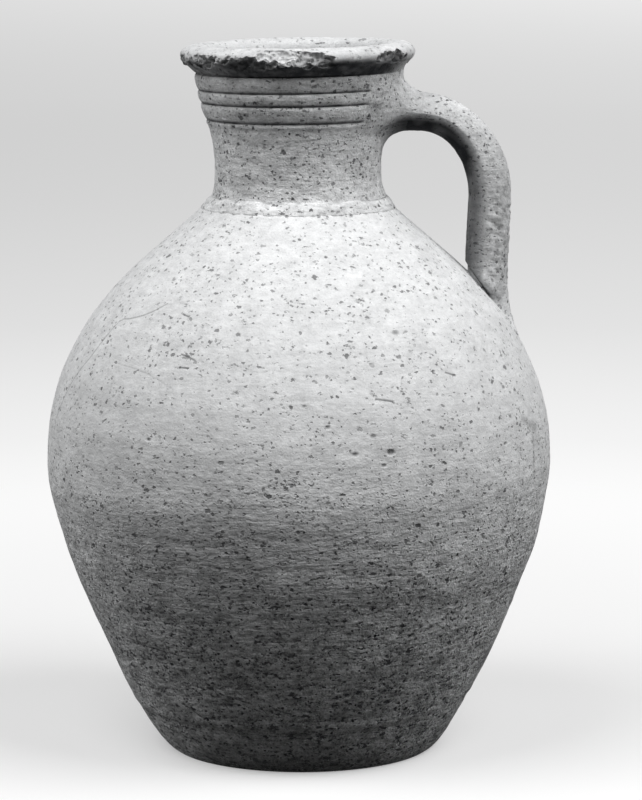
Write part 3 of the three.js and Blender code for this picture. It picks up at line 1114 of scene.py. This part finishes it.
def sleeve_point(share, edge_point, bend, on_handle, edge_normal, handle_normal):
    """Out along the skin in the first half of the share, and back just under it in the second."""
    if share <= 0.5:
        return curve_point(edge_point, bend, on_handle, share * 2)
    back = 2 - share * 2
    depth = skin * min(1.0, back * 12, (1 - back) * 12)
    inward = edge_normal.lerp(handle_normal, back).normalized()
    return curve_point(edge_point, bend, on_handle, back) - inward * depth


def upper_luting_point(share, turn_share):
    """A point of the upper luting and its painted shade, which lies on its lower side. A turn of 0 is
    on the strap's upper side.
    """
    turn = turn_share * math.tau
    up = math.cos(turn)
    side = math.sin(turn)
    out, across = strap_section(turn, arch_thickness, 0)
    dark = 0.95 * ease(-up, 0.1, 0.58) * ease(share, 0.05, 0.45)
    handle_normal = Vector((0, side * 0.7, up)).normalized()
    edge_z = arch_height + (spread_up if up > 0 else spread_down) * up
    edge_y = spread_side * side
    edge_radius = smear_radius(44 * mm, edge_y, edge_z) - 0.12 * mm
    edge_x = math.sqrt(edge_radius**2 - edge_y**2)
    edge_point = Vector((edge_x, edge_y, edge_z))
    reach = reach_bottom + (reach_top - reach_bottom) * (up + 1) / 2
    on_handle = Vector((reach, across, arch_height + out))
    on_handle += handle_normal * (strap_relief(on_handle) - 0.08 * mm)
    widening = line_radius(smear_line, edge_z + 1 * mm) - line_radius(smear_line, edge_z - 1 * mm)
    normal = Vector((edge_x / edge_radius, edge_y / edge_radius, -widening / (2 * mm)))
    ahead = normal.dot(on_handle - edge_point) / normal.x
    bend = on_handle - Vector((min(ahead, reach - 41 * mm), 0, 0))
    bend = bend.lerp((on_handle + edge_point) / 2, 0.5 * max(up, 0.0))
    point = sleeve_point(share, edge_point, bend, on_handle, normal.normalized(), handle_normal)
    fade = abs(math.sin(math.tau * share))
    x, y, z = point
    wiped = 0.3 * rough(x, y, z, 6 * mm) + 0.2 * rough(x, y * 2, z, 2.5 * mm)
    return point + (handle_normal + Vector((0.5, 0, 0))) * (wiped * fade * mm), dark


upper_shape = rolled(luting_rows, luting_sides, upper_luting_point)
for vert in upper_shape.verts:
    near_neck = 1 - ease(vert.co.x, 46 * mm, 60 * mm)
    vert.co = vert.co.lerp(tilted(vert.co), near_neck)
upper_luting = finished("upper_luting", upper_shape, clay("upper_luting_clay", shade=0.62, worn=0.4))
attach(upper_luting, "root")
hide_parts("handle_upper_luting")


# Lower luting: clay wiped round the handle's lower end. It is tight on the inner side and at
# the front, and runs out into a long tail down the shoulder on the outer side.
def lower_luting_point(share, turn_share):
    """A point of the lower luting and its painted shade, away from the outer side. A turn of 0 is
    on the handle's outer side.
    """
    turn = turn_share * math.tau
    out, across = strap_section(turn, grip_thickness, 1)
    ahead = Vector((math.cos(turn), math.sin(turn), 0))
    tail = ease(ahead.x, 0.72, 0.98)
    centre = grip_x - 1.9 * mm
    spread = -1.7 * mm + 7.8 * mm * tail
    edge = Vector((centre + out + ahead.x * spread, across + ahead.y * spread, 0))
    edge_radius = edge.length
    edge.z = shoulder_height(edge_radius) - 0.12 * mm
    root_z = shoulder_height(math.hypot(centre + out, across))
    inset = 1 - 0.16 * (1 - ease(ahead.x, 0.3, 0.85))
    top_z = root_z + 1.2 * mm + 21 * mm * tail
    on_handle = Vector((centre + out * inset * 0.99, across * inset * 0.99, top_z))
    bend = Vector((on_handle.x + 0.4 * mm * tail, on_handle.y, root_z - 0.5 * mm + 4.5 * mm * tail))
    edge_normal = Vector((edge.x, edge.y, edge_radius)).normalized()
    point = sleeve_point(share, edge, bend, on_handle, edge_normal, ahead)
    fade = abs(math.sin(math.tau * share)) * (0.3 + 0.7 * tail)
    x, y, z = point
    wiped = 0.35 * rough(x, y, z, 5 * mm) + 0.2 * rough(x * 2, y, z, 2.5 * mm)
    dark = 0.5 * (1 - ease(ahead.x, 0.3, 0.8))
    return point + (ahead + Vector((0, 0, 0.3))) * (wiped * fade * mm), dark


lower_shape = rolled(luting_rows, luting_sides, lower_luting_point)
lower_luting = finished("lower_luting", lower_shape, clay("lower_luting_clay", shade=0.7, worn=0.35))
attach(lower_luting, "root")
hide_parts("handle_lower_luting")


low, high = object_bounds()
